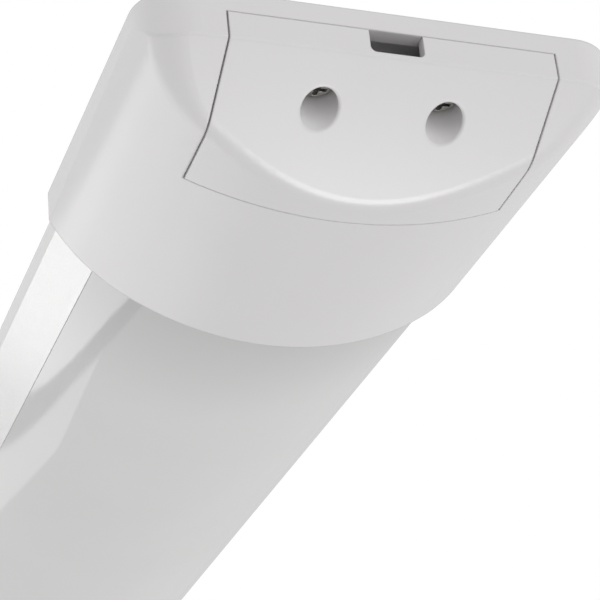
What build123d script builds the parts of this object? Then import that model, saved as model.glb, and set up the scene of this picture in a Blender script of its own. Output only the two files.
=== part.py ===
"""Slim surface-mount LED batten: folded tray, domed diffuser and two moulded end caps with wiring covers.

Millimetres. The ceiling face is the plane z = 0 and the fixture hangs below it. X runs along the length.
Pieces at an end are drawn with their end face at x = 0 and their body towards -x, then set on an end.
"""
from build123d import *
from math import cos, radians, sin, sqrt, tan
import os

# Overall size
LENGTH = 600.0
WIDTH = 75.0
DEPTH = 25.0

# End cap shell
CAP_LENGTH = 58.0
CAP_CORNER_RADIUS = 8.0
CAP_WALL = 1.7
CAP_FLOOR = 2.0
CAP_PARTITION = 1.7
CAP_SOCKET_DEPTH = 8.5
CAP_FIT = 0.15
SHOULDER_INSET = 11.5
RIM_SHOULDER_DEPTH = 17.5
RIM_SIDE_HEIGHT = 5.1
END_DEPTH = 18.0
END_SHOULDER_DEPTH = 14.6
END_SIDE_HEIGHT = 2.8
TRIM_MARGIN = 0.2
CREASE_DEPTH = 7.7
SCOOP_ANGLE = 32.0
SCOOP_EDGE_RADIUS = 6.0
CREASE_RADIUS = 0.7
LEDGE_THICKNESS = 2.8
WIRE_WAY_WIDTH = 26.0
WIRE_WAY_HEIGHT = 7.0
WIRE_WAY_SILL = 0.6

# Ceiling screw holes in the cap floors
MOUNT_HOLE_DIAMETER = 4.5
MOUNT_HOLE_INSET = 14.0
MOUNT_HOLE_SPACING = 38.0

# Wiring cover in the end of each cap
COVER_SIDE_INSET = 12.1
COVER_LENGTH = 24.4
COVER_TOP_DEPTH = 3.25
COVER_SIDE_GAP = 0.28
COVER_END_GAP = 0.06
NOTCH_WIDTH = 8.4
NOTCH_HEIGHT = 3.7
NOTCH_CORNER_RADIUS = 0.9

# Cover screws, their wells in the cover and their bosses in the cap
COVER_SCREW_SPACING = 19.6
COVER_SCREW_INSET = 8.05
COVER_SCREW_HEAD_DIAMETER = 5.0
COVER_SCREW_HEAD_HEIGHT = 1.9
COVER_SCREW_DIAMETER = 2.6
COVER_SCREW_LENGTH = 5.5
COVER_SCREW_POINT = 0.8
COVER_SEAT_DEPTH = 7.1
COVER_SEAT_THICKNESS = 1.6
WELL_DIAMETER = 5.6
WELL_WALL = 1.4
WELL_EDGE_RADIUS = 0.4
BOSS_DIAMETER = 6.4
SEAT_GAP = 0.1
SCREW_PLAY = 0.08
RECESS_WIDTH = 0.8
RECESS_LENGTH = 3.0
RECESS_DEPTH = 1.1

# Tray and diffuser
SHEET = 0.8
TRAY_BACK_BEND = 1.2
TRAY_WING_BEND = 0.5
WING_WIDTH = 5.75
END_PLAY = 0.5
DIFFUSER_WALL = 1.2
DIFFUSER_SEAM = 0.05
DIFFUSER_FOOT = 4.5
DIFFUSER_PLAY = 0.15

# Flush screws that hold the tray to lugs of the caps
CAP_SCREW_SIDE_INSET = 15.5
CAP_SCREW_DIAMETER = 2.9
CAP_SCREW_LENGTH = 7.0
CAP_SCREW_HEAD_DIAMETER = 5.2
CAP_SCREW_SINK = 0.05
LUG_DIAMETER = 7.0
LUG_LENGTH = 9.0
LUG_INSET = 4.5

# LED boards, their chips, connectors and rivets
BOARD_WIDTH = 12.0
BOARD_THICKNESS = 1.0
BOARD_GAP = 2.0
BOARD_END_CLEARANCE = 13.0
CHIP_LENGTH = 3.5
CHIP_WIDTH = 2.8
CHIP_HEIGHT = 0.7
CHIP_PITCH = 12.0
CHIPS_PER_RIVET = 9
RIVET_DIAMETER = 3.0
RIVET_HEAD_DIAMETER = 4.6
RIVET_HEAD_HEIGHT = 1.0
RIVET_PLAY = 0.05
CONNECTOR_LENGTH = 8.0
CONNECTOR_WIDTH = 3.2
CONNECTOR_HEIGHT = 3.6
CONNECTOR_EDGE = 0.2

# Driver
DRIVER_LENGTH = 84.0
DRIVER_WIDTH = 22.0
DRIVER_HEIGHT = 13.2
DRIVER_WALL = 1.0
DRIVER_EAR = 8.0
DRIVER_END_DISTANCE = 80.0
DRIVER_LID_PLAY = 0.1
DRIVER_POST_HEIGHT = 1.2
DRIVER_POST_DIAMETER = 3.0
DRIVER_BOARD_MARGIN = 0.8
DRIVER_BOARD_THICKNESS = 1.2
TRANSFORMER_SIZE = 14.0
TRANSFORMER_HEIGHT = 7.6
TRANSFORMER_CHAMFER = 1.4
CAPACITOR_DIAMETER = 7.0
CAPACITOR_LENGTH = 12.0
CAPACITOR_SPACING = 8.0
CAPACITOR_EDGE_RADIUS = 0.7
CHOKE_DIAMETER = 10.0
CHOKE_HEIGHT = 5.0
CHOKE_BORE = 4.0
CHOKE_EDGE_RADIUS = 1.25

# Supply terminals and cord clamp in the right cap
TERMINAL_INSET = 19.0
TERMINAL_LENGTH = 10.0
TERMINAL_HEIGHT = 10.0
TERMINAL_PITCH = 8.0
TERMINAL_WALL = 1.5
TERMINAL_AXIS_DEPTH = 6.5
CLAMP_SIZE = 5.6
CLAMP_BORE = 3.0
CLAMP_PLAY = 0.1
TERMINAL_SCREW_DIAMETER = 2.9
TERMINAL_SCREW_LENGTH = 4.6
CORD_CLAMP_INSET = 15.2
CORD_CLAMP_WIDTH = 24.0
CORD_CLAMP_LENGTH = 5.0
CORD_CLAMP_THICKNESS = 2.4
CORD_CLAMP_CORNER_RADIUS = 1.25
CORD_CLAMP_SPACING = 18.0
CORD_GAP = 4.2
CORD_CLAMP_SCREW_DIAMETER = 2.4
CORD_CLAMP_SCREW_HEAD = 4.4
CORD_CLAMP_SCREW_HEAD_HEIGHT = 1.5
CORD_CLAMP_SCREW_LENGTH = 6.0
CORD_CLAMP_POST_DIAMETER = 5.4

# Earth stud on the tray
EARTH_STUD_INSET = 66.0
EARTH_STUD_OFFSET = 11.0
EARTH_STUD_DIAMETER = 4.0
EARTH_STUD_LENGTH = 8.0
EARTH_NUT_WIDTH = 7.0
EARTH_NUT_HEIGHT = 3.2
EARTH_TAG_DIAMETER = 8.0
EARTH_TAG_THICKNESS = 0.8
EARTH_BARREL_DIAMETER = 3.6
EARTH_BARREL_LENGTH = 5.0
EARTH_NECK_OVERLAP = 1.0
EARTH_PLAY = 0.1

# Wires
MAINS_WIRE_DIAMETER = 2.2
LED_WIRE_DIAMETER = 1.6
WIRE_PLAY = 0.1
WIRE_TUCK = 3.0
WIRE_LEAD = 13.0
WIRE_ARC_SHARE = 0.45
MAINS_WIRE_SPREAD = 8.0
LED_WIRE_SPREAD = 8.0

# Worked-out sizes
HALF_LENGTH = LENGTH / 2
HALF_WIDTH = WIDTH / 2
SHOULDER_HALF = HALF_WIDTH - SHOULDER_INSET
BODY_INSET = CAP_WALL + CAP_FIT
BODY_HALF = HALF_WIDTH - BODY_INSET
WING_INNER_HALF = BODY_HALF - WING_WIDTH
COVER_WIDTH = WIDTH - 2 * COVER_SIDE_INSET
CAP_SCREW_SPACING = WIDTH - 2 * CAP_SCREW_SIDE_INSET
BOARD_OFFSET = DRIVER_WIDTH / 2 + BOARD_GAP + BOARD_WIDTH / 2
SOCKET_START = CAP_LENGTH - CAP_SOCKET_DEPTH
CHAMBER_END = SOCKET_START - CAP_PARTITION
TRAY_LENGTH = LENGTH - 2 * (SOCKET_START + END_PLAY)
DIFFUSER_LENGTH = TRAY_LENGTH - 2 * END_PLAY
BOARD_LENGTH = LENGTH - 2 * (CAP_LENGTH + BOARD_END_CLEARANCE)
BOARD_FACE = SHEET + BOARD_THICKNESS
CHIPS_PER_HALF = int((BOARD_LENGTH / 2 - CHIP_PITCH) / CHIP_PITCH)
LUG_POSITION = SOCKET_START + LUG_INSET
COVER_SCREW_BOSS_END = COVER_SEAT_DEPTH - COVER_SEAT_THICKNESS - SEAT_GAP
DRIVER_CENTRE = HALF_LENGTH - DRIVER_END_DISTANCE - DRIVER_LENGTH / 2
DRIVER_BOARD_TOP = SHEET + DRIVER_WALL + DRIVER_POST_HEIGHT
DRIVER_BOARD_FACE = DRIVER_BOARD_TOP + DRIVER_BOARD_THICKNESS
CORD_CLAMP_FACE = CAP_FLOOR + CORD_GAP


class Dome:
    """Domed section across the length: a wide bottom arc that runs on into a shoulder arc at each side."""

    def __init__(self, depth, shoulder_depth, side_height):
        sag = depth - shoulder_depth
        self.bottom_radius = (SHOULDER_HALF**2 + sag**2) / (2 * sag)
        self.bottom_centre = Vector(0, self.bottom_radius - depth)
        shoulder = Vector(SHOULDER_HALF, -shoulder_depth)
        chord = Vector(HALF_WIDTH, -side_height) - shoulder
        self.inward = (self.bottom_centre - shoulder).normalized()
        self.shoulder_radius = chord.length**2 / (2 * chord.dot(self.inward))
        self.shoulder_centre = shoulder + self.inward * self.shoulder_radius

    def shoulder_start(self, inset):
        """Distance from the middle at which the shoulder arc starts, on a dome drawn in by an inset."""
        return SHOULDER_HALF + self.inward.X * inset

    def height(self, y, inset):
        """Height of the dome, drawn in by an inset, at a distance y from the middle."""
        if y < self.shoulder_start(inset):
            return self.bottom_centre.Y - sqrt((self.bottom_radius - inset) ** 2 - y**2)
        reach = y - self.shoulder_centre.X
        return self.shoulder_centre.Y - sqrt((self.shoulder_radius - inset) ** 2 - reach**2)

    def reach(self, z, inset):
        """Distance from the middle at which the shoulder, drawn in by an inset, has the height z."""
        rise = z - self.shoulder_centre.Y
        return self.shoulder_centre.X + sqrt((self.shoulder_radius - inset) ** 2 - rise**2)

    def outline(self, inset, half_width, top):
        """Closed outline of the dome, drawn in by an inset, out to a half width and up to a flat top."""
        start = self.shoulder_start(inset)
        middle = (start + half_width) / 2
        points = [(y, self.height(y, inset)) for y in (start, middle, half_width)]
        mirror_points = [(-y, z) for y, z in points]
        lowest = (0, self.height(0, inset))
        bottom = ThreePointArc(mirror_points[0], lowest, points[0])
        right = ThreePointArc(*points)
        left = ThreePointArc(mirror_points[2], mirror_points[1], mirror_points[0])
        back = Polyline(points[2], (half_width, top), (-half_width, top), mirror_points[2])
        return make_face([left, bottom, right, back])


RIM = Dome(DEPTH, RIM_SHOULDER_DEPTH, RIM_SIDE_HEIGHT)
END = Dome(END_DEPTH, END_SHOULDER_DEPTH, END_SIDE_HEIGHT)


def across(x):
    """Plane across the length at x, with its own x along Y and its own y along Z."""
    return Plane(origin=(x, 0, 0), x_dir=(0, 1, 0), z_dir=(1, 0, 0))


def block(x_range, y_range, z_range):
    """Box between the given limits."""
    size = [high - low for low, high in (x_range, y_range, z_range)]
    low = [limits[0] for limits in (x_range, y_range, z_range)]
    return Pos(*low) * Box(*size, align=(Align.MIN, Align.MIN, Align.MIN))


def rod(x, y, diameter, top, bottom):
    """Upright cylinder between two depths below the ceiling face."""
    height = bottom - top
    return Pos(x, y, -top) * Cylinder(diameter / 2, height, align=(Align.CENTER, Align.CENTER, Align.MAX))


def both_sides(spacing):
    """The two offsets of a pair that is spaced about the middle, front first."""
    return (-spacing / 2, spacing / 2)


def on_right(shape):
    """Set an end piece on the right end."""
    return Pos(HALF_LENGTH, 0, 0) * shape


def on_left(shape):
    """Set an end piece on the left end, turned about."""
    return Pos(-HALF_LENGTH, 0, 0) * Rot(0, 0, 180) * shape


def tapered_dome(inset):
    """Dome that grows flatter from the cap's rim to its end face, drawn in by an inset."""
    half_width = HALF_WIDTH - inset + TRIM_MARGIN
    rim = across(-CAP_LENGTH) * RIM.outline(inset, half_width, TRIM_MARGIN)
    end = across(0) * END.outline(inset, half_width, TRIM_MARGIN)
    return loft([rim, end], ruled=True)


def cap_plan(inset, start, end):
    """Upright prism of the cap's plan with rounded end corners, between two distances from the end."""
    outline = Pos(-start) * Rectangle(end - start, WIDTH - 2 * inset, align=(Align.MAX, Align.CENTER))
    corners = outline.vertices().group_by(Axis.X)[-1]
    outline = fillet(corners, CAP_CORNER_RADIUS - inset)
    return extrude(outline, -2 * DEPTH)


def scoop_wedge(inset):
    """Everything below the sloped end of the cap, or below its inner face."""
    slope = tan(radians(SCOOP_ANGLE))
    start = -CREASE_DEPTH + inset / cos(radians(SCOOP_ANGLE))
    bottom = start - CAP_LENGTH * slope
    outline = Polyline((DEPTH, start + DEPTH * slope), (-CAP_LENGTH, bottom), (DEPTH, bottom), close=True)
    return extrude(Plane.XZ * make_face(outline), WIDTH, both=True)


def scoop_face(shape):
    """The sloped flat face of a cap."""
    def lean(face):
        return face.normal_at().X if face.geom_type == GeomType.PLANE else 0
    return min(shape.faces(), key=lambda face: abs(lean(face) - sin(radians(SCOOP_ANGLE))))


def cap_outside():
    """Outer form of an end cap as one full solid."""
    form = tapered_dome(0) & cap_plan(0, 0, CAP_LENGTH)
    form = form - scoop_wedge(0)
    highest = -CREASE_DEPTH - CREASE_RADIUS
    dome_edges = [edge for edge in scoop_face(form).edges() if edge.center().Z < highest]
    form = fillet(dome_edges, SCOOP_EDGE_RADIUS)
    crease = scoop_face(form).edges().sort_by(Axis.X)[-1]
    return fillet(crease, CREASE_RADIUS)


def chamber():
    """Hollow of the wiring chamber in a cap."""
    hollow = tapered_dome(CAP_WALL) & cap_plan(CAP_WALL, CAP_WALL, CHAMBER_END)
    hollow = hollow - scoop_wedge(CAP_WALL)
    return hollow - block((-CAP_LENGTH, 0), (-WIDTH, WIDTH), (-CAP_FLOOR, DEPTH))


def socket():
    """Straight hollow that the tray and the diffuser slide into."""
    rim = across(-CAP_LENGTH) * RIM.outline(CAP_WALL, HALF_WIDTH - CAP_WALL, 0)
    return extrude(rim, CAP_SOCKET_DEPTH)


def cover_space(side_gap, end_gap):
    """Space of the wiring cover, grown by a gap at its sides and one at its ends."""
    half = COVER_WIDTH / 2 + side_gap
    top = end_gap - COVER_TOP_DEPTH - COVER_END_GAP
    return block((-COVER_LENGTH - end_gap, DEPTH), (-half, half), (-2 * DEPTH, top))


def countersink(y):
    """Cutter for one flush cap screw."""
    head = CAP_SCREW_HEAD_DIAMETER / 2 + RIVET_PLAY
    shank = CAP_SCREW_DIAMETER / 2 + RIVET_PLAY
    cone = Cone(shank, head, head - shank, align=(Align.CENTER, Align.CENTER, Align.MAX))
    return Pos(-LUG_POSITION, y, 0) * cone + rod(-LUG_POSITION, y, 2 * shank, 0, CAP_SCREW_LENGTH + SHEET)


def cap_lug(y):
    """Lug behind the partition that takes one flush screw through the tray."""
    half = LUG_DIAMETER / 2
    round_end = rod(-LUG_POSITION, y, LUG_DIAMETER, SHEET, SHEET + LUG_LENGTH)
    root = block((-LUG_POSITION, -CHAMBER_END), (y - half, y + half), (-SHEET - LUG_LENGTH, -SHEET))
    root = root - block((-SOCKET_START, 0), (-WIDTH, WIDTH), (-CAP_FLOOR, 0))
    return round_end + root


def cover_boss(y):
    """Boss on the cap's floor that takes one cover screw."""
    return rod(-COVER_SCREW_INSET, y, BOSS_DIAMETER, CAP_FLOOR / 2, COVER_SCREW_BOSS_END)


def cover_boss_hole(y):
    """Blind hole of one cover screw in its boss."""
    diameter = COVER_SCREW_DIAMETER + 2 * SCREW_PLAY
    top = COVER_SEAT_DEPTH - COVER_SCREW_LENGTH - 2 * SCREW_PLAY
    return rod(-COVER_SCREW_INSET, y, diameter, top, COVER_SEAT_DEPTH)


def wire_way():
    """Opening in the partition for the wires."""
    half = WIRE_WAY_WIDTH / 2
    top = -CAP_FLOOR - WIRE_WAY_SILL
    x_range = (-SOCKET_START - END_PLAY, -CHAMBER_END + END_PLAY)
    return block(x_range, (-half, half), (top - WIRE_WAY_HEIGHT, top))


def end_cap(outside, hollow):
    """Moulded end cap: shell, floor, partition, socket, bosses and screw holes."""
    cap = outside - hollow - socket()
    half = COVER_WIDTH / 2 + COVER_SIDE_GAP
    ledge = block((-LEDGE_THICKNESS, -CAP_WALL / 2), (-half, half), (-COVER_TOP_DEPTH, -CAP_FLOOR / 2))
    cap = cap - cover_space(COVER_SIDE_GAP, COVER_END_GAP) + ledge - wire_way()
    for y in both_sides(COVER_SCREW_SPACING):
        cap = cap + cover_boss(y) - cover_boss_hole(y)
    for y in both_sides(CAP_SCREW_SPACING):
        cap = cap + cap_lug(y) - countersink(y)
    for y in both_sides(MOUNT_HOLE_SPACING):
        cap = cap - rod(-MOUNT_HOLE_INSET, y, MOUNT_HOLE_DIAMETER, 0, CAP_FLOOR)
    return cap


def cord_clamp_hole(y):
    """Hole of one cord clamp screw through the bar and into its post."""
    diameter = CORD_CLAMP_SCREW_DIAMETER + 2 * SCREW_PLAY
    bottom = CORD_CLAMP_FACE + CORD_CLAMP_THICKNESS
    top = bottom - CORD_CLAMP_SCREW_LENGTH - SCREW_PLAY
    return rod(-CORD_CLAMP_INSET, y, diameter, top, bottom)


def supply_cap(cap):
    """End cap with the posts of the cord clamp."""
    for y in both_sides(CORD_CLAMP_SPACING):
        post = rod(-CORD_CLAMP_INSET, y, CORD_CLAMP_POST_DIAMETER, CAP_FLOOR / 2, CORD_CLAMP_FACE)
        cap = cap + post - cord_clamp_hole(y)
    return cap


def cable_notch():
    """Notch in the cover's top edge where the supply cord comes in."""
    top = -COVER_TOP_DEPTH
    bottom = top - NOTCH_HEIGHT - COVER_END_GAP
    notch = block((-2 * CAP_WALL, CAP_WALL), both_sides(NOTCH_WIDTH), (bottom, top))
    lower_edges = notch.edges().filter_by(Axis.X).group_by(Axis.Z)[0]
    return fillet(lower_edges, NOTCH_CORNER_RADIUS)


def well_edges(cover):
    """Edges of the two screw wells on the cover's sloped face."""
    return [edge for wire_loop in scoop_face(cover).inner_wires() for edge in wire_loop.edges()]


def wiring_cover(outside, hollow):
    """Removable cover: its share of the cap's shell, with two screw wells and the cable notch."""
    cover = (outside - hollow) & cover_space(0, 0)
    top = COVER_SEAT_DEPTH - COVER_SEAT_THICKNESS
    for y in both_sides(COVER_SCREW_SPACING):
        sleeve = rod(-COVER_SCREW_INSET, y, WELL_DIAMETER + 2 * WELL_WALL, top, DEPTH) & outside
        cover = cover + sleeve
    for y in both_sides(COVER_SCREW_SPACING):
        well = rod(-COVER_SCREW_INSET, y, WELL_DIAMETER, COVER_SEAT_DEPTH, DEPTH)
        hole = rod(-COVER_SCREW_INSET, y, COVER_SCREW_DIAMETER + 2 * SCREW_PLAY, top, COVER_SEAT_DEPTH)
        cover = cover - well - hole
    cover = fillet(well_edges(cover), WELL_EDGE_RADIUS)
    return cover - cable_notch()


def cross_recess(x, y, face):
    """Cross recess in a screw head whose face looks down."""
    top = face - RECESS_DEPTH
    size = (RECESS_LENGTH, RECESS_WIDTH, RECESS_DEPTH)
    bar = Pos(x, y, -top) * Box(*size, align=(Align.CENTER, Align.CENTER, Align.MAX))
    return bar + Pos(x, y, -top) * Rot(0, 0, 90) * Box(*size, align=(Align.CENTER, Align.CENTER, Align.MAX))


def cover_screw(y):
    """Pan-head cross-recess screw of a wiring cover."""
    x = -COVER_SCREW_INSET
    seat = COVER_SEAT_DEPTH + SCREW_PLAY
    face = seat + COVER_SCREW_HEAD_HEIGHT
    head = rod(x, y, COVER_SCREW_HEAD_DIAMETER, seat, face)
    rim = head.edges().filter_by(GeomType.CIRCLE).sort_by(Axis.Z)[0]
    head = fillet(rim, COVER_SCREW_HEAD_HEIGHT / 2)
    tip = COVER_SEAT_DEPTH - COVER_SCREW_LENGTH
    shank = rod(x, y, COVER_SCREW_DIAMETER, tip + SCREW_PLAY, seat)
    end = shank.edges().filter_by(GeomType.CIRCLE).sort_by(Axis.Z)[-1]
    shank = chamfer(end, COVER_SCREW_POINT)
    return head + shank - cross_recess(x, y, face)


def cap_screw(y):
    """Flush screw through the tray into a lug of the cap."""
    head = CAP_SCREW_HEAD_DIAMETER / 2
    shank = CAP_SCREW_DIAMETER / 2
    cone = Cone(shank, head, head - shank, align=(Align.CENTER, Align.CENTER, Align.MAX))
    screw = Pos(-LUG_POSITION, y, -CAP_SCREW_SINK) * cone
    screw = screw + rod(-LUG_POSITION, y, CAP_SCREW_DIAMETER, CAP_SCREW_SINK, CAP_SCREW_LENGTH)
    recess = Rot(180, 0, 0) * cross_recess(0, 0, 0)
    return screw - Pos(-LUG_POSITION, y, -CAP_SCREW_SINK) * recess


def wing_ends():
    """Outer and inner end of the right-hand wing on the body's dome, as (y, z) points."""
    outer = Vector(BODY_HALF, RIM.height(BODY_HALF, BODY_INSET))
    inner = Vector(WING_INNER_HALF, RIM.height(WING_INNER_HALF, BODY_INSET))
    return outer, inner


def mirrored(point):
    """A (y, z) point on the other side of the middle."""
    return (-point.X, point.Y)


def board_rivet_places():
    """Places of the rivets along one board."""
    step = CHIPS_PER_RIVET * CHIP_PITCH
    each_way = int((BOARD_LENGTH / 2 - CHIP_PITCH) / step)
    return [step * index for index in range(-each_way, each_way + 1)]


def driver_ear_places():
    """Places of the driver's two rivets along the length."""
    reach = DRIVER_LENGTH / 2 + DRIVER_EAR / 2
    return (DRIVER_CENTRE - reach, DRIVER_CENTRE + reach)


def base_tray():
    """Folded sheet tray with two sloped wings, screw holes and rivet holes."""
    outer, inner = wing_ends()
    along = (outer - inner).normalized()
    into = Vector(-along.Y, along.X)
    half = SHEET / 2
    wing_tip = inner + into * half
    corner_drop = half * (1 - along.X) / along.Y
    wing_fold = Vector(BODY_HALF - half, outer.Y + corner_drop)
    back_fold = Vector(BODY_HALF - half, -half)
    right_side = [wing_tip, wing_fold, back_fold]
    left_side = [mirrored(point) for point in reversed(right_side)]
    points = [(point.X, point.Y) for point in right_side] + left_side
    bends = [TRAY_WING_BEND, TRAY_BACK_BEND, TRAY_BACK_BEND, TRAY_WING_BEND]
    middle_line = FilletPolyline(*points, radius=bends)
    section = across(-TRAY_LENGTH / 2) * trace(middle_line, SHEET)
    tray = extrude(section, TRAY_LENGTH)
    for y in both_sides(CAP_SCREW_SPACING):
        tray = tray - on_right(countersink(y)) - on_left(countersink(y))
    for y in both_sides(2 * BOARD_OFFSET):
        for x in board_rivet_places():
            tray = tray - rod(x, y, RIVET_DIAMETER + 2 * RIVET_PLAY, 0, SHEET)
    for x in driver_ear_places():
        tray = tray - rod(x, 0, RIVET_DIAMETER + 2 * RIVET_PLAY, 0, SHEET)
    return tray


def diffuser_foot():
    """Foot of the diffuser behind the right-hand wing, joined to the end of the dome."""
    outer, inner = wing_ends()
    along = (outer - inner).normalized()
    into = Vector(-along.Y, along.X)
    near = inner + into * (SHEET + DIFFUSER_PLAY)
    far = near + into * DIFFUSER_WALL
    cut = inner.Y - DIFFUSER_SEAM
    dome_outer = (RIM.reach(cut, BODY_INSET), cut)
    dome_inner = (RIM.reach(cut, BODY_INSET + DIFFUSER_WALL), cut)
    near_end = near + along * DIFFUSER_FOOT
    far_end = far + along * DIFFUSER_FOOT
    corners = [(point.X, point.Y) for point in (far, far_end, near_end, near)]
    return make_face(Polyline(dome_outer, dome_inner, *corners, close=True))


def diffuser():
    """Milky dome with a foot along each edge."""
    shell = RIM.outline(BODY_INSET, BODY_HALF, 0)
    shell = shell - RIM.outline(BODY_INSET + DIFFUSER_WALL, BODY_HALF - DIFFUSER_WALL, 0)
    cut = wing_ends()[1].Y - DIFFUSER_SEAM
    above = Pos(0, cut) * Rectangle(WIDTH, DEPTH, align=(Align.CENTER, Align.MIN))
    foot = diffuser_foot()
    section = (shell - above) + foot + mirror(foot, about=Plane.YZ)
    return extrude(across(-DIFFUSER_LENGTH / 2) * section, DIFFUSER_LENGTH)


def led_board(y):
    """Metal-core strip board with its rivet holes."""
    half = BOARD_WIDTH / 2
    board = block(both_sides(BOARD_LENGTH), (y - half, y + half), (-BOARD_FACE, -SHEET))
    for x in board_rivet_places():
        board = board - rod(x, y, RIVET_DIAMETER + 2 * RIVET_PLAY, SHEET, BOARD_FACE)
    return board


def led_chips(y):
    """Row of LED chips along one board."""
    chips = []
    for index in range(-CHIPS_PER_HALF, CHIPS_PER_HALF):
        x = (index + 0.5) * CHIP_PITCH
        x_range = (x - CHIP_LENGTH / 2, x + CHIP_LENGTH / 2)
        y_range = (y - CHIP_WIDTH / 2, y + CHIP_WIDTH / 2)
        chips.append(block(x_range, y_range, (-BOARD_FACE - CHIP_HEIGHT, -BOARD_FACE)))
    return Compound(chips)


def rivet(x, y, grip):
    """Flush-backed rivet with a low round head under a stack of the given thickness."""
    head = rod(x, y, RIVET_HEAD_DIAMETER, grip, grip + RIVET_HEAD_HEIGHT)
    rim = head.edges().filter_by(GeomType.CIRCLE).sort_by(Axis.Z)[0]
    head = fillet(rim, RIVET_HEAD_HEIGHT / 2)
    return head + rod(x, y, RIVET_DIAMETER, CAP_SCREW_SINK, grip)


def board_rivets():
    """Rivets of both boards."""
    rivets = []
    for y in both_sides(2 * BOARD_OFFSET):
        for x in board_rivet_places():
            rivets.append(rivet(x, y, BOARD_FACE))
    return Compound(rivets)


def driver_rivets():
    """Rivets through the driver's ears."""
    return Compound([rivet(x, 0, SHEET + DRIVER_WALL) for x in driver_ear_places()])


def connector_middle():
    """Distance of the board connectors from the middle of the fixture's width."""
    return BOARD_OFFSET - BOARD_WIDTH / 2 + CONNECTOR_EDGE + CONNECTOR_WIDTH / 2


def connector_ends():
    """Wire-side ends of the connectors: near the driver, and at the far end of the boards."""
    driver_end = DRIVER_CENTRE - DRIVER_LENGTH / 2 - DRIVER_EAR - 2 * CHIP_PITCH
    far_end = -BOARD_LENGTH / 2 + CHIP_PITCH / 2
    return driver_end, far_end


def board_connectors():
    """Two small wire connectors on each board, with a socket for the wire."""
    driver_end, far_end = connector_ends()
    depth = -BOARD_FACE - CONNECTOR_HEIGHT / 2
    bodies = []
    for y in both_sides(2 * connector_middle()):
        y_range = (y - CONNECTOR_WIDTH / 2, y + CONNECTOR_WIDTH / 2)
        z_range = (-BOARD_FACE - CONNECTOR_HEIGHT, -BOARD_FACE)
        near = block((driver_end - CONNECTOR_LENGTH, driver_end), y_range, z_range)
        far = block((far_end, far_end + CONNECTOR_LENGTH), y_range, z_range)
        hole = Cylinder(LED_WIRE_DIAMETER / 2 + WIRE_PLAY, 2 * WIRE_TUCK + WIRE_PLAY)
        bodies.append(near - Pos(driver_end, y, depth) * Rot(0, 90, 0) * hole)
        bodies.append(far - Pos(far_end, y, depth) * Rot(0, 90, 0) * hole)
    return Compound(bodies)


def driver_span(margin):
    """X and Y limits of the driver, drawn in by a margin."""
    half_length = DRIVER_LENGTH / 2 - margin
    half_width = DRIVER_WIDTH / 2 - margin
    return (DRIVER_CENTRE - half_length, DRIVER_CENTRE + half_length), (-half_width, half_width)


def driver_wire_holes():
    """Cutters for the two wires in each end of the driver."""
    depth = -TERMINAL_AXIS_DEPTH
    right_end = DRIVER_CENTRE + DRIVER_LENGTH / 2
    left_end = DRIVER_CENTRE - DRIVER_LENGTH / 2
    cutters = []
    for y in both_sides(MAINS_WIRE_SPREAD):
        hole = Cylinder(MAINS_WIRE_DIAMETER / 2 + WIRE_PLAY, 4 * DRIVER_WALL)
        cutters.append(Pos(right_end, y, depth) * Rot(0, 90, 0) * hole)
    for y in both_sides(LED_WIRE_SPREAD):
        hole = Cylinder(LED_WIRE_DIAMETER / 2 + WIRE_PLAY, 4 * DRIVER_WALL)
        cutters.append(Pos(left_end, y, depth) * Rot(0, 90, 0) * hole)
    return cutters


def driver_post_places():
    """Places of the posts under the driver's board."""
    reach = DRIVER_LENGTH / 2 - DRIVER_WALL - DRIVER_BOARD_MARGIN - DRIVER_POST_DIAMETER
    side = DRIVER_WIDTH / 2 - DRIVER_WALL - DRIVER_BOARD_MARGIN - DRIVER_POST_DIAMETER
    return [(DRIVER_CENTRE + x, y) for x in (-reach, reach) for y in (-side, side)]


def driver_case():
    """Open driver box with an ear at each end and posts for its board."""
    x_range, y_range = driver_span(0)
    inner_x, inner_y = driver_span(DRIVER_WALL)
    bottom = -SHEET - DRIVER_HEIGHT
    case = block(x_range, y_range, (bottom + DRIVER_WALL, -SHEET))
    case = case - block(inner_x, inner_y, (bottom, -SHEET - DRIVER_WALL))
    ears = block((x_range[0] - DRIVER_EAR, x_range[1] + DRIVER_EAR), y_range, (-SHEET - DRIVER_WALL, -SHEET))
    case = case + ears
    for x, y in driver_post_places():
        case = case + rod(x, y, DRIVER_POST_DIAMETER, SHEET + DRIVER_WALL / 2, DRIVER_BOARD_TOP)
    for x in driver_ear_places():
        case = case - rod(x, 0, RIVET_DIAMETER + 2 * RIVET_PLAY, SHEET, SHEET + DRIVER_WALL)
    for cutter in driver_wire_holes():
        case = case - cutter
    return case


def driver_lid():
    """Lid that closes the driver box, with a lip inside the walls."""
    x_range, y_range = driver_span(0)
    lip_x, lip_y = driver_span(DRIVER_WALL + DRIVER_LID_PLAY)
    hollow_x, hollow_y = driver_span(2 * DRIVER_WALL + DRIVER_LID_PLAY)
    bottom = -SHEET - DRIVER_HEIGHT
    top = bottom + DRIVER_WALL
    lip = block(lip_x, lip_y, (top, top + DRIVER_WALL)) - block(hollow_x, hollow_y, (bottom, 0))
    return block(x_range, y_range, (bottom, top)) + lip


def driver_board():
    """Circuit board on the posts of the driver box."""
    x_range, y_range = driver_span(DRIVER_WALL + DRIVER_BOARD_MARGIN)
    return block(x_range, y_range, (-DRIVER_BOARD_FACE, -DRIVER_BOARD_TOP))


def driver_transformer():
    """Transformer: a wound bobbin in a square core."""
    half = TRANSFORMER_SIZE / 2
    x_range = (DRIVER_CENTRE - half, DRIVER_CENTRE + half)
    bottom = -DRIVER_BOARD_FACE - TRANSFORMER_HEIGHT
    core = block(x_range, (-half, half), (bottom, -DRIVER_BOARD_FACE))
    upright = core.edges().filter_by(Axis.Z)
    return chamfer(upright, TRANSFORMER_CHAMFER)


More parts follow.
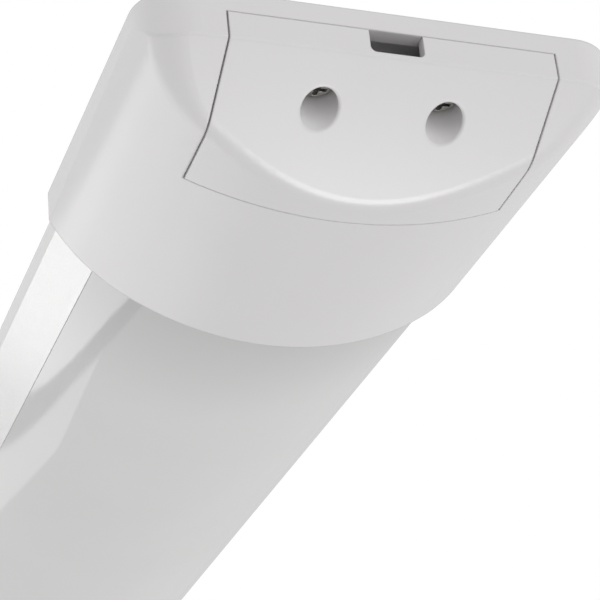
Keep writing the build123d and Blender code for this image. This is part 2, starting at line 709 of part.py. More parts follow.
def driver_capacitors():
    """Two electrolytic capacitors lying on the board."""
    x = DRIVER_CENTRE + TRANSFORMER_SIZE / 2 + CAPACITOR_LENGTH
    depth = -DRIVER_BOARD_FACE - CAPACITOR_DIAMETER / 2
    can = Cylinder(CAPACITOR_DIAMETER / 2, CAPACITOR_LENGTH)
    can = fillet(can.edges().filter_by(GeomType.CIRCLE), CAPACITOR_EDGE_RADIUS)
    return Compound([Pos(x, y, depth) * Rot(0, 90, 0) * can for y in both_sides(CAPACITOR_SPACING)])


def driver_choke():
    """Ring choke lying on the board."""
    x = DRIVER_CENTRE - TRANSFORMER_SIZE / 2 - CHOKE_DIAMETER
    ring = rod(x, 0, CHOKE_DIAMETER, DRIVER_BOARD_FACE, DRIVER_BOARD_FACE + CHOKE_HEIGHT)
    ring = ring - rod(x, 0, CHOKE_BORE, DRIVER_BOARD_FACE, DRIVER_BOARD_FACE + CHOKE_HEIGHT)
    return fillet(ring.edges().filter_by(GeomType.CIRCLE), CHOKE_EDGE_RADIUS)


def pole_places():
    """Places of the three poles across the width: earth, neutral, live."""
    return (-TERMINAL_PITCH, 0, TERMINAL_PITCH)


def terminal_middle():
    """Middle of the terminal block along the length."""
    return -TERMINAL_INSET - TERMINAL_LENGTH / 2


def terminal_block():
    """Three-pole terminal block with a pocket and a screw hole for each pole."""
    half = TERMINAL_PITCH + CLAMP_SIZE / 2 + TERMINAL_WALL
    x_range = (-TERMINAL_INSET - TERMINAL_LENGTH, -TERMINAL_INSET)
    body = block(x_range, (-half, half), (-CAP_FLOOR - TERMINAL_HEIGHT, -CAP_FLOOR))
    pocket = CLAMP_SIZE / 2 + CLAMP_PLAY
    for y in pole_places():
        z_range = (-TERMINAL_AXIS_DEPTH - pocket, -TERMINAL_AXIS_DEPTH + pocket)
        body = body - block(x_range, (y - pocket, y + pocket), z_range)
        diameter = TERMINAL_SCREW_DIAMETER + 2 * SCREW_PLAY
        body = body - rod(terminal_middle(), y, diameter, TERMINAL_AXIS_DEPTH, CAP_FLOOR + TERMINAL_HEIGHT)
    return body


def terminal_clamps():
    """Brass clamp of each pole, with a wire bore and a threaded hole."""
    half = CLAMP_SIZE / 2
    length = TERMINAL_LENGTH - 2 * CLAMP_PLAY
    clamps = []
    for y in pole_places():
        middle = Pos(terminal_middle(), y, -TERMINAL_AXIS_DEPTH)
        clamp = middle * Box(length, CLAMP_SIZE, CLAMP_SIZE)
        bore = middle * Rot(0, 90, 0) * Cylinder(CLAMP_BORE / 2, length)
        diameter = TERMINAL_SCREW_DIAMETER + 2 * SCREW_PLAY
        hole = rod(terminal_middle(), y, diameter, TERMINAL_AXIS_DEPTH, TERMINAL_AXIS_DEPTH + half)
        clamps.append(clamp - bore - hole)
    return Compound(clamps)


def terminal_screws():
    """Slotted clamp screw of each pole."""
    bottom = CAP_FLOOR + TERMINAL_HEIGHT - SCREW_PLAY
    screws = []
    for y in pole_places():
        screw = rod(terminal_middle(), y, TERMINAL_SCREW_DIAMETER, bottom - TERMINAL_SCREW_LENGTH, bottom)
        slot = Pos(terminal_middle(), y, -bottom) * Box(TERMINAL_SCREW_DIAMETER, RECESS_WIDTH, RECESS_WIDTH)
        screws.append(screw - slot)
    return Compound(screws)


def cord_clamp():
    """Clamp bar over the supply cord."""
    half = CORD_CLAMP_LENGTH / 2
    x_range = (-CORD_CLAMP_INSET - half, -CORD_CLAMP_INSET + half)
    bottom = CORD_CLAMP_FACE + CORD_CLAMP_THICKNESS
    bar = block(x_range, both_sides(CORD_CLAMP_WIDTH), (-bottom, -CORD_CLAMP_FACE))
    bar = fillet(bar.edges().filter_by(Axis.Z), CORD_CLAMP_CORNER_RADIUS)
    for y in both_sides(CORD_CLAMP_SPACING):
        bar = bar - cord_clamp_hole(y)
    return bar


def cord_clamp_screws():
    """Two pan-head screws of the cord clamp."""
    seat = CORD_CLAMP_FACE + CORD_CLAMP_THICKNESS
    face = seat + CORD_CLAMP_SCREW_HEAD_HEIGHT
    x = -CORD_CLAMP_INSET
    screws = []
    for y in both_sides(CORD_CLAMP_SPACING):
        head = rod(x, y, CORD_CLAMP_SCREW_HEAD, seat, face)
        rim = head.edges().filter_by(GeomType.CIRCLE).sort_by(Axis.Z)[0]
        head = fillet(rim, CORD_CLAMP_SCREW_HEAD_HEIGHT / 2)
        screw = head + rod(x, y, CORD_CLAMP_SCREW_DIAMETER, seat - CORD_CLAMP_SCREW_LENGTH, seat)
        screws.append(screw - cross_recess(x, y, face))
    return Compound(screws)


def earth_stud():
    """Welded stud on the tray for the earth wire."""
    return rod(-EARTH_STUD_INSET, -EARTH_STUD_OFFSET, EARTH_STUD_DIAMETER, SHEET, SHEET + EARTH_STUD_LENGTH)


def earth_nut():
    """Hexagon nut on the earth stud."""
    place = Pos(-EARTH_STUD_INSET, -EARTH_STUD_OFFSET, -SHEET - EARTH_TAG_THICKNESS)
    hexagon = RegularPolygon(EARTH_NUT_WIDTH / 2, 6, major_radius=False)
    hexagon = hexagon - Circle(EARTH_STUD_DIAMETER / 2 + EARTH_PLAY)
    return place * extrude(hexagon, -EARTH_NUT_HEIGHT)


def earth_barrel_depth():
    """Depth of the earth tag's barrel axis."""
    return SHEET + EARTH_BARREL_DIAMETER / 2


def earth_tag():
    """Ring tag with a crimp barrel towards the end cap."""
    x = -EARTH_STUD_INSET
    y = -EARTH_STUD_OFFSET
    ring = rod(x, y, EARTH_TAG_DIAMETER, SHEET, SHEET + EARTH_TAG_THICKNESS)
    start = x + EARTH_TAG_DIAMETER / 2
    half = EARTH_BARREL_DIAMETER / 2
    z_range = (-SHEET - EARTH_TAG_THICKNESS, -SHEET)
    neck = block((x, start + EARTH_NECK_OVERLAP), (y - half, y + half), z_range)
    ring = ring + neck - rod(x, y, EARTH_STUD_DIAMETER + 2 * EARTH_PLAY, SHEET, SHEET + EARTH_TAG_THICKNESS)
    middle = Pos(start + EARTH_BARREL_LENGTH / 2, y, -earth_barrel_depth()) * Rot(0, 90, 0)
    barrel = Cylinder(half, EARTH_BARREL_LENGTH)
    bore = Cylinder(MAINS_WIRE_DIAMETER / 2 + WIRE_PLAY, 2 * EARTH_BARREL_LENGTH)
    return ring + middle * barrel - middle * bore


def wire(points, diameter):
    """Round wire along straight runs joined by arcs as large as the runs allow."""
    vectors = [Vector(*point) for point in points]
    radii = []
    for before, here, after in zip(vectors, vectors[1:], vectors[2:]):
        turn = (here - before).get_angle(after - here)
        shorter = min((here - before).length, (after - here).length)
        radii.append(WIRE_ARC_SHARE * shorter / tan(radians(turn) / 2))
    path = FilletPolyline(*vectors, radius=radii)
    start = Plane(origin=path @ 0, z_dir=path % 0)
    return sweep(start * Circle(diameter / 2), path=path)


def mains_wire(pole, driver_side):
    """Wire from a terminal pole through the partition to the driver."""
    depth = -TERMINAL_AXIS_DEPTH
    driver_face = DRIVER_CENTRE + DRIVER_LENGTH / 2
    start = HALF_LENGTH + terminal_middle() - WIRE_TUCK / 2
    points = [
        (start, pole, depth),
        (start - WIRE_LEAD, pole, depth),
        (driver_face + WIRE_LEAD, driver_side, depth),
        (driver_face - DRIVER_WALL, driver_side, depth),
    ]
    return wire(points, MAINS_WIRE_DIAMETER)


def earth_wire():
    """Wire from the earth pole to the tag on the tray's stud."""
    start = HALF_LENGTH + terminal_middle() - WIRE_TUCK / 2
    tag_mouth = HALF_LENGTH - EARTH_STUD_INSET + EARTH_TAG_DIAMETER / 2 + EARTH_BARREL_LENGTH
    points = [
        (start, -TERMINAL_PITCH, -TERMINAL_AXIS_DEPTH),
        (start - WIRE_LEAD, -TERMINAL_PITCH, -TERMINAL_AXIS_DEPTH),
        (tag_mouth + WIRE_TUCK, -EARTH_STUD_OFFSET, -earth_barrel_depth()),
        (tag_mouth - WIRE_TUCK, -EARTH_STUD_OFFSET, -earth_barrel_depth()),
    ]
    return wire(points, MAINS_WIRE_DIAMETER)


def led_supply_wire(side):
    """Wire from the driver to the near connector of one board; side is -1 for front, 1 for rear."""
    driver_face = DRIVER_CENTRE - DRIVER_LENGTH / 2
    connector_face = connector_ends()[0]
    depth = -BOARD_FACE - CONNECTOR_HEIGHT / 2
    points = [
        (driver_face + DRIVER_WALL, side * LED_WIRE_SPREAD / 2, -TERMINAL_AXIS_DEPTH),
        (driver_face - DRIVER_EAR, side * LED_WIRE_SPREAD / 2, -TERMINAL_AXIS_DEPTH),
        (connector_face + DRIVER_EAR, side * connector_middle(), depth),
        (connector_face - WIRE_TUCK, side * connector_middle(), depth),
    ]
    return wire(points, LED_WIRE_DIAMETER)


def led_link_wire():
    """Wire that joins the two boards at the far end."""
    face = connector_ends()[1]
    reach = face - 2 * CONNECTOR_LENGTH
    side = connector_middle()
    depth = -BOARD_FACE - CONNECTOR_HEIGHT / 2
    points = [
        (face + WIRE_TUCK, -side, depth),
        (face - CONNECTOR_LENGTH, -side, depth),
        (reach, -side / 3, depth),
        (reach, side / 3, depth),
        (face - CONNECTOR_LENGTH, side, depth),
        (face + WIRE_TUCK, side, depth),
    ]
    return wire(points, LED_WIRE_DIAMETER)


def pieces():
    """Every piece of the fixture by its name."""
    outside = cap_outside()
    hollow = chamber()
    cap = end_cap(outside, hollow)
    cover = wiring_cover(outside, hollow)
    front, rear = both_sides(COVER_SCREW_SPACING)
    board_front, board_rear = both_sides(2 * BOARD_OFFSET)
    wire_front, wire_rear = both_sides(MAINS_WIRE_SPREAD)
    cap_screws = []
    for y in both_sides(CAP_SCREW_SPACING):
        cap_screws.append(on_right(cap_screw(y)))
        cap_screws.append(on_left(cap_screw(y)))
    return {
        "base_tray": base_tray(),
        "diffuser": diffuser(),
        "right_end_cap": on_right(supply_cap(cap)),
        "left_end_cap": on_left(cap),
        "right_wiring_cover": on_right(cover),
        "left_wiring_cover": on_left(cover),
        "right_cover_screw_front": on_right(cover_screw(front)),
        "right_cover_screw_rear": on_right(cover_screw(rear)),
        "left_cover_screw_front": on_left(cover_screw(rear)),
        "left_cover_screw_rear": on_left(cover_screw(front)),
        "cap_screws": Compound(cap_screws),
        "front_led_board": led_board(board_front),
        "rear_led_board": led_board(board_rear),
        "front_led_chips": led_chips(board_front),
        "rear_led_chips": led_chips(board_rear),
        "board_rivets": board_rivets(),
        "board_connectors": board_connectors(),
        "driver_case": driver_case(),
        "driver_lid": driver_lid(),
        "driver_board": driver_board(),
        "driver_transformer": driver_transformer(),
        "driver_capacitors": driver_capacitors(),
        "driver_choke": driver_choke(),
        "driver_rivets": driver_rivets(),
        "terminal_block": on_right(terminal_block()),
        "terminal_clamps": on_right(terminal_clamps()),
        "terminal_screws": on_right(terminal_screws()),
        "cord_clamp": on_right(cord_clamp()),
        "cord_clamp_screws": on_right(cord_clamp_screws()),
        "live_wire": mains_wire(TERMINAL_PITCH, wire_rear),
        "neutral_wire": mains_wire(0, wire_front),
        "earth_wire": earth_wire(),
        "led_positive_wire": led_supply_wire(-1),
        "led_negative_wire": led_supply_wire(1),
        "led_link_wire": led_link_wire(),
        "earth_stud": on_right(earth_stud()),
        "earth_nut": on_right(earth_nut()),
        "earth_tag": on_right(earth_tag()),
    }


os.makedirs("parts", exist_ok=True)
for name, shape in pieces().items():
    export_step(shape, f"parts/{name}.step")
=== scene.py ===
"""Looks of a slim LED batten: painted tray, opal diffuser and two moulded end caps.

Metres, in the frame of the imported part: the ceiling face is z = 0, the fixture hangs below it
and X runs along it. The camera looks up at the right end.
"""

import math

import bmesh
import bpy
from mathutils import Matrix, Vector


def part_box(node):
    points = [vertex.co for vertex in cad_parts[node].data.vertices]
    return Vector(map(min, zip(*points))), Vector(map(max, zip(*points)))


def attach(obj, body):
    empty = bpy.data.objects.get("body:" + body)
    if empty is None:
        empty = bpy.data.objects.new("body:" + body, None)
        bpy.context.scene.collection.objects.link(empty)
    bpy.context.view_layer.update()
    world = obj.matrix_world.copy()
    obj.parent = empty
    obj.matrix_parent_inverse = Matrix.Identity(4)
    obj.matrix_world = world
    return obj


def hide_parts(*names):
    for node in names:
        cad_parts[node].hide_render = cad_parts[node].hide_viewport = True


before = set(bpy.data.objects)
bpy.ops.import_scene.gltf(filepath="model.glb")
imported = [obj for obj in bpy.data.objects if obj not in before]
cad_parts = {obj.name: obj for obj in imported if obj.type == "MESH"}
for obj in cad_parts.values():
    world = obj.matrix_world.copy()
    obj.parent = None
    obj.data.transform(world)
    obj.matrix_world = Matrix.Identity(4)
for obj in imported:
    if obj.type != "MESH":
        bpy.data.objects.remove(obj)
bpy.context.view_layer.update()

MM = 0.001

# Camera, at the viewing angle of the photograph
CAMERA_PLACE = (0.514760, -0.106719, -0.169164)
CAMERA_RIGHT = (0.331599, 0.938962, -0.091607)
CAMERA_UP = (0.463890, -0.077729, 0.882476)
CAMERA_BACK = (0.821491, -0.335124, -0.461350)
CAMERA_LENS = 120.2
CAMERA_SENSOR = 36.0
CAMERA_CLIP = 0.01

# Studio: a pale floor far below, a white backdrop and the soft light of the room
FLOOR_DEPTH = 2.4
FLOOR_SIZE = 24.0
WHITE = (1.0, 1.0, 1.0, 1.0)
BACKDROP_STRENGTH = 1.0
ROOM_STRENGTH = 0.63

# Lights: all face one point of the fixture from the same distance
LIGHT_TARGET = (0.22, -0.02, -0.015)
LIGHT_DISTANCE = 1.5
UPRIGHT = (0.0, 0.0, 1.0)

# Softbox with a slanted edge, and the black flag along it that shows as a streak on the diffuser
SLANTED_TOWARD = (-0.7296, -0.4604, -0.5057)
SLANTED_ALONG = (0.2520, 0.5064, -0.8245)
SLANTED_SIZE = (1.9, 0.629)
SLANTED_POWER = 5.9
FLAG_WIDTH = 0.057
FLAG_SPAN = (-0.69, 0.25)

# Softboxes that show in gloss beside the streak and on the tray's wing, and one from below
STREAK_TOWARD = (-0.9108, -0.3293, -0.2489)
STREAK_SIZE = (0.60, 0.11)
STREAK_POWER = 0.16
WING_TOWARD = (-0.8411, -0.5373, -0.0612)
WING_SIZE = (0.30, 0.27)
WING_POWER = 0.15
UNDER_TOWARD = (0.0, 0.37, -0.93)
UNDER_ALONG = (0.0, 0.93, 0.37)
UNDER_SIZE = (0.42, 0.42)
UNDER_POWER = 4.2

# Fills that don't show in gloss: direction from the fixture, and power
FILL_SIZE = (1.3, 1.3)
FILL_LIGHTS = {
    "left_fill": ((-0.46, -0.76, 0.41), 7.0),
    "back_fill": ((-0.93, 0.15, 0.14), 2.1),
    "front_fill": ((0.97, 0.03, -0.05), 4.5),
    "rear_fill": ((-0.55, 0.81, 0.0), 5.0),
    "corner_fill": ((0.66, 0.73, -0.17), 3.7),
}

# Skins: the levels that each noise is cut between, and how patterns stretch along the axes
NOISE_BAND = (0.3, 0.7)
FLECK_BAND = (0.35, 0.7)
TARNISH_BAND = (0.35, 0.72)
FILM_BAND = (0.45, 0.75)
GRIT_BAND = (0.62, 0.75)
DIE_STRETCH = (3.0, 900.0, 900.0)
TOOL_STRETCH = (1.0, 1.0, 6.0)
FLECK_SHARE = 0.25
GRIT_SCALE = 4200.0
FILM_SHARE = 0.6
GRIT_SHARE = 0.4

# Finishes: blue that a warm grey loses, dust, softened edges, and roughness and bump of each kind
BLUE_LOSS = 0.4
DUST_COLOUR = (0.60, 0.585, 0.575, 1.0)
PLASTIC_DUST = 0.03
METAL_DUST = 0.02
PAINT_DUST = 0.02
OPAL_DUST = 0.015
EDGE_SAMPLES = 6
EDGE_RADIUS = 0.15 * MM
CAP_EDGE_RADIUS = 0.45 * MM
COVER_EDGE_RADIUS = 0.3 * MM
MOULD_GRAIN = 2200.0
PLASTIC_ROUGHNESS = (0.38, 0.5)
PLASTIC_BUMP = (0.1, 0.03 * MM)
SATIN_ROUGHNESS = (0.22, 0.25)
SATIN_BUMP = (0.012, 0.02 * MM)
METAL_ROUGHNESS = (0.25, 0.42)
METAL_BUMP = (0.15, 0.02 * MM)
PAINT_ROUGHNESS = (0.1, 0.16)
PAINT_BUMP = (0.05, 0.03 * MM)
PAINT_IOR = 1.7
OPAL_ROUGHNESS = (0.03, 0.05)
OPAL_BUMP = (0.01, 0.004 * MM)
SLEEVE_ROUGHNESS = (0.35, 0.45)

# Painted shade on the opal plastic beside the caps, where less light reaches it
PAINTED_SHADE_REACH = 36 * MM
PAINTED_SHADE_OPAL = (0.645, 0.643, 0.642, 1.0)

# Yellow stripe of the earth wire
STRIPE_COLOUR = (0.72, 0.62, 0.04, 1.0)
STRIPE_SCALE = 90.0
STRIPE_BAND = (0.55, 0.65)

# Profile of the diffuser, in millimetres: distance from the middle, and depth below the ceiling
DOME_OUTSIDE = (-25.015, 15.934), (0.0, 23.150), (25.015, 15.934)
DOME_INSIDE = (-24.376, 14.919), (0.0, 21.950), (24.376, 14.919)
SHOULDER_OUTSIDE = (25.015, 15.934), (26.707, 14.789), (29.848, 12.176)
SHOULDER_INSIDE = (24.376, 14.919), (26.883, 13.153), (28.065, 12.176)
DIFFUSER_FOOT = (29.146, 11.547), (31.886, 7.978), (30.934, 7.247), (28.194, 10.817)
DOME_SHARP_ANGLE = math.radians(25)
DOME_STEPS = 64
SHOULDER_STEPS = 16

# Threads of the cover screws
THREAD_DEPTH = 0.28 * MM
THREAD_PITCH = 0.9 * MM
THREAD_STEPS = 32
THREAD_TAPER = 6.0
DIAMOND_CORNERS = 4
HEAD_HEIGHT = 1.9 * MM
HEAD_TO_THREAD = 1.8 * MM
POINT_LENGTH = 0.5 * MM
SHANK_RADIUS = 1.3 * MM

# Chips on the LED boards
WINDOW_RADIUS = 1.12 * MM
WINDOW_RISE = 0.12 * MM
SOLDER_RADIUS = 0.55 * MM
SOLDER_RISE = 0.3 * MM
BEAD_SEGMENTS = 14
BEAD_RINGS = 8
WELD_DISTANCE = 0.001 * MM

# Winding of the ring choke
CHOKE_BORE = 2.0 * MM
WINDING_TURNS = 22
WINDING_WIRE = 0.28 * MM
WINDING_SWEEP = math.radians(310)
WINDING_BEND = 0.3
WINDING_BEND_STEPS = 5
WINDING_SIDES = 8
WINDING_RING_STEPS = 96

# Wires: the bends that each one goes round, in millimetres
MAINS_WIRE_RADIUS = 1.1 * MM
LED_WIRE_RADIUS = 0.8 * MM
SLEEVE_SIDES = 16
ROUTE_STEPS = 16
LIVE_ROUTE = [(274.5, 8, -6.5), (261.5, 8, -6.5), (233, 4, -6.5), (219, 4, -6.5)]
NEUTRAL_ROUTE = [(274.5, 0, -6.5), (261.5, 0, -6.5), (233, -4, -6.5), (219, -4, -6.5)]
EARTH_ROUTE = [(274.5, -8, -6.5), (261.5, -8, -6.5), (246, -11, -2.6), (240, -11, -2.6)]
LED_POSITIVE_ROUTE = [(137, -4, -6.5), (128, -4, -6.5), (112, -14.8, -3.6), (101, -14.8, -3.6)]
LED_NEGATIVE_ROUTE = [(137, 4, -6.5), (128, 4, -6.5), (112, 14.8, -3.6), (101, 14.8, -3.6)]
LED_LINK_ROUTE = [(-220, -14.8, -3.6), (-231, -14.8, -3.6), (-239, -4.933, -3.6)]
LED_LINK_ROUTE += [(x, -y, z) for x, y, z in reversed(LED_LINK_ROUTE)]

# Kinds of socket in the node trees
NUMBER = "NodeSocketFloat"
COUNT = "NodeSocketInt"
PLACE = "NodeSocketVector"


def add_object(name, data):
    """Object of a mesh, curve, light or camera, in the scene."""
    thing = bpy.data.objects.new(name, data)
    bpy.context.scene.collection.objects.link(thing)
    return thing


def add_node(tree, kind, inputs, **settings):
    """Node with its settings and inputs; an input is a value or a socket to link."""
    node = tree.nodes.new(kind)
    for label, value in settings.items():
        setattr(node, label, value)
    for label, value in inputs.items():
        if isinstance(value, bpy.types.NodeSocket):
            tree.links.new(value, node.inputs[label])
        else:
            node.inputs[label].default_value = value
    return node.outputs[0]


def add_math(tree, operation, first, second, **settings):
    """Math node on two numbers or sockets."""
    inputs = {0: first, 1: second}
    return add_node(tree, "ShaderNodeMath", inputs, operation=operation, **settings)


def add_noise(tree, place, scale, detail, roughness):
    """Noise texture at a place; its scale is a number or a socket."""
    inputs = {"Vector": place, "Scale": scale, "Detail": detail, "Roughness": roughness}
    return add_node(tree, "ShaderNodeTexNoise", inputs)


def add_range(tree, value, band, target=(0.0, 1.0)):
    """Smooth step of a value from one range to another."""
    inputs = {"Value": value, "From Min": band[0], "From Max": band[1]}
    inputs.update({"To Min": target[0], "To Max": target[1]})
    return add_node(tree, "ShaderNodeMapRange", inputs, interpolation_type="SMOOTHSTEP")


def object_place(tree, stretch=None):
    """Object coordinates, stretched along the axes where that is asked for."""
    place = tree.nodes.new("ShaderNodeTexCoord").outputs["Object"]
    if stretch is None:
        return place
    return add_node(tree, "ShaderNodeMapping", {"Vector": place, "Scale": stretch})


def new_group(name, inputs, outputs):
    """Empty shader group with number inputs, given with their defaults, and number outputs."""
    tree = bpy.data.node_groups.new(name, "ShaderNodeTree")
    for label, value in inputs.items():
        socket = tree.interface.new_socket(label, in_out="INPUT", socket_type=NUMBER)
        socket.default_value = value
    for label in outputs:
        tree.interface.new_socket(label, in_out="OUTPUT", socket_type=NUMBER)
    return tree, tree.nodes.new("NodeGroupInput").outputs, tree.nodes.new("NodeGroupOutput").inputs


def new_skin(name, inputs):
    """Empty shader group for a surface: relief for its bump, and patches of tone."""
    return new_group(name, inputs, ("Height", "Tone"))


def close_skin(tree, end, relief, patches, band):
    """End of a skin group; the patches are cut out of a noise between two levels."""
    tree.links.new(relief, end["Height"])
    tree.links.new(add_range(tree, patches, band), end["Tone"])
    return tree


def moulded_skin_group():
    """Fine spark-eroded texture and slow tone drift of a moulded part."""
    tree, start, end = new_skin("moulded_skin", {"Grain": MOULD_GRAIN, "Drift": 28.0})
    place = object_place(tree)
    grain = add_noise(tree, place, start["Grain"], detail=3.0, roughness=0.6)
    drift = add_noise(tree, place, start["Drift"], detail=2.0, roughness=0.5)
    return close_skin(tree, end, grain, drift, NOISE_BAND)


def paint_peel_group():
    """Orange-peel skin of baked powder paint."""
    tree, start, end = new_skin("paint_peel", {"Peel": 620.0, "Fleck": 3200.0})
    place = object_place(tree)
    peel = add_noise(tree, place, start["Peel"], detail=1.5, roughness=0.45)
    fleck = add_noise(tree, place, start["Fleck"], detail=2.0, roughness=0.6)
    relief = add_math(tree, "ADD", peel, add_math(tree, "MULTIPLY", fleck, FLECK_SHARE))
    return close_skin(tree, end, relief, fleck, FLECK_BAND)


def drawn_line_group():
    """Faint lines along the length, as an extruder's die leaves them."""
    tree, start, end = new_skin("drawn_line", {"Lines": 1.0, "Haze": 40.0})
    along = object_place(tree, DIE_STRETCH)
    lines = add_noise(tree, along, start["Lines"], detail=2.0, roughness=0.5)
    haze = add_noise(tree, object_place(tree), start["Haze"], detail=3.0, roughness=0.55)
    return close_skin(tree, end, lines, haze, NOISE_BAND)


def worked_metal_group():
    """Tool marks and tarnish of small metal parts."""
    tree, start, end = new_skin("worked_metal", {"Marks": 5200.0, "Tarnish": 420.0})
    across = object_place(tree, TOOL_STRETCH)
    marks = add_noise(tree, across, start["Marks"], detail=2.0, roughness=0.6)
    tarnish = add_noise(tree, object_place(tree), start["Tarnish"], detail=4.0, roughness=0.65)
    return close_skin(tree, end, marks, tarnish, TARNISH_BAND)


def handling_dust_group():
    """Thin film of dust and handling marks, with grit in it."""
    tree, start, end = new_group("handling_dust", {"Size": 55.0, "Amount": 0.5}, ("Film",))
    place = object_place(tree)
    patches = add_noise(tree, place, start["Size"], detail=5.0, roughness=0.6)
    specks = add_noise(tree, place, GRIT_SCALE, detail=1.0, roughness=0.5)
    film = add_math(tree, "MULTIPLY", add_range(tree, patches, FILM_BAND), FILM_SHARE)
    grit = add_math(tree, "MULTIPLY", add_range(tree, specks, GRIT_BAND), GRIT_SHARE)
    both = add_math(tree, "ADD", film, grit)
    tree.links.new(add_math(tree, "MULTIPLY", both, start["Amount"]), end["Film"])
    return tree


SKIN_GROUPS = {
    "moulded_skin": moulded_skin_group(),
    "paint_peel": paint_peel_group(),
    "drawn_line": drawn_line_group(),
    "worked_metal": worked_metal_group(),
    "handling_dust": handling_dust_group(),
}


def place_group(tree, name, **values):
    """Shader group in a material, with its own values."""
    node = tree.nodes.new("ShaderNodeGroup")
    node.node_tree = SKIN_GROUPS[name]
    for label, value in values.items():
        node.inputs[label].default_value = value
    return node


def mix_colours(tree, share, first, second):
    """Mix of two colours, each a colour or a socket, by a share."""
    mix = tree.nodes.new("ShaderNodeMix")
    mix.data_type = "RGBA"
    tree.links.new(share, mix.inputs["Factor"])
    for label, colour in (("A", first), ("B", second)):
        socket = [s for s in mix.inputs if s.name == label and s.type == "RGBA"][0]
        if isinstance(colour, tuple):
            socket.default_value = colour
        else:
            tree.links.new(colour, socket)
    return [s for s in mix.outputs if s.type == "RGBA"][0]


def paint_over(material, share, colour):
    """Second colour on a finished material, where a mask says so."""
    tree = material.node_tree
    base = tree.nodes["Principled BSDF"].inputs["Base Color"]
    tree.links.new(mix_colours(tree, share, base.links[0].from_socket, colour), base)


def finish_material(
    name, skin, tones, roughness, bump, dust, edge_radius=EDGE_RADIUS, **skin_values
):
    """Material with a skin for its tone, roughness and bump, softened edges and a dust film."""
    material = bpy.data.materials.new(name)
    material.use_nodes = True
    tree = material.node_tree
    shader = tree.nodes["Principled BSDF"]
    group = place_group(tree, skin, **skin_values)
    film = place_group(tree, "handling_dust", Amount=dust)
    clean = mix_colours(tree, group.outputs["Tone"], *tones)
    dusty = mix_colours(tree, film.outputs["Film"], clean, DUST_COLOUR)
    height = group.outputs["Height"]
    edge = add_node(tree, "ShaderNodeBevel", {"Radius": edge_radius}, samples=EDGE_SAMPLES)
    relief = {"Strength": bump[0], "Distance": bump[1], "Height": height, "Normal": edge}
    tree.links.new(dusty, shader.inputs["Base Color"])
    tree.links.new(add_range(tree, height, NOISE_BAND, roughness), shader.inputs["Roughness"])
    tree.links.new(add_node(tree, "ShaderNodeBump", relief), shader.inputs["Normal"])
    return material


def set_shader(material, label, value):
    """Value that is the same all over a material, on the shader's own socket."""
    material.node_tree.nodes["Principled BSDF"].inputs[label].default_value = value
    return material


def tone(red, green, blue):
    """Colour as a material takes it."""
    return (red, green, blue, 1.0)


def grey(light, warmth=0.0):
    """Near-neutral colour of a given lightness, made a little warmer."""
    return tone(light * (1 + warmth), light, light * (1 - BLUE_LOSS * warmth))


def plastic(name, first, second, roughness=PLASTIC_ROUGHNESS, grain=MOULD_GRAIN):
    """Moulded plastic in two close tones."""
    tones = (first, second)
    return finish_material(
        name, "moulded_skin", tones, roughness, PLASTIC_BUMP, PLASTIC_DUST, Grain=grain
    )


def satin_plastic(name, first, second, edge_radius):
    """Half-gloss white plastic of the caps and the covers."""
    tones = (first, second)
    return finish_material(
        name, "moulded_skin", tones, SATIN_ROUGHNESS, SATIN_BUMP, PLASTIC_DUST, edge_radius
    )


def metal(name, first, second):
    """Bare or plated metal in two close tones."""
    tones = (first, second)
    material = finish_material(
        name, "worked_metal", tones, METAL_ROUGHNESS, METAL_BUMP, METAL_DUST
    )
    return set_shader(material, "Metallic", 1.0)


def white_paint():
    """Baked white powder paint of the tray."""
    tones = (grey(0.86, 0.004), grey(0.83, 0.006))
    material = finish_material(
        "baked_tray_paint", "paint_peel", tones, PAINT_ROUGHNESS, PAINT_BUMP, PAINT_DUST
    )
    return set_shader(material, "IOR", PAINT_IOR)


def opal_plastic():
    """Milky extruded plastic of the diffuser, with painted shade beside the caps."""
    tones = (grey(0.772, 0.002), grey(0.757, 0.004))
    material = finish_material(
        "opal_diffuser", "drawn_line", tones, OPAL_ROUGHNESS, OPAL_BUMP, OPAL_DUST
    )
    tree = material.node_tree
    # Painted shade: the colour darkens towards each cap over the last stretch of the length
    along = add_node(tree, "ShaderNodeSeparateXYZ", {0: object_place(tree)})
    from_middle = add_math(tree, "ABSOLUTE", along, 0.0)
    cap_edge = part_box("right_end_cap")[0].x
    paint_over(material, add_range(tree, from_middle, (cap_edge - PAINTED_SHADE_REACH, cap_edge)), PAINTED_SHADE_OPAL)
    return material


def green_yellow_wire():
    """Insulation of the earth wire: green, with slanted yellow stripes."""
    material = plastic("earth_wire_sleeve", tone(0.03, 0.22, 0.06), tone(0.04, 0.26, 0.07))
    tree = material.node_tree
    wave = tree.nodes.new("ShaderNodeTexWave")
    wave.wave_type = "BANDS"
    wave.bands_direction = "DIAGONAL"
    wave.inputs["Scale"].default_value = STRIPE_SCALE
    tree.links.new(object_place(tree), wave.inputs["Vector"])
    paint_over(material, add_range(tree, wave.outputs["Fac"], STRIPE_BAND), STRIPE_COLOUR)
    return material


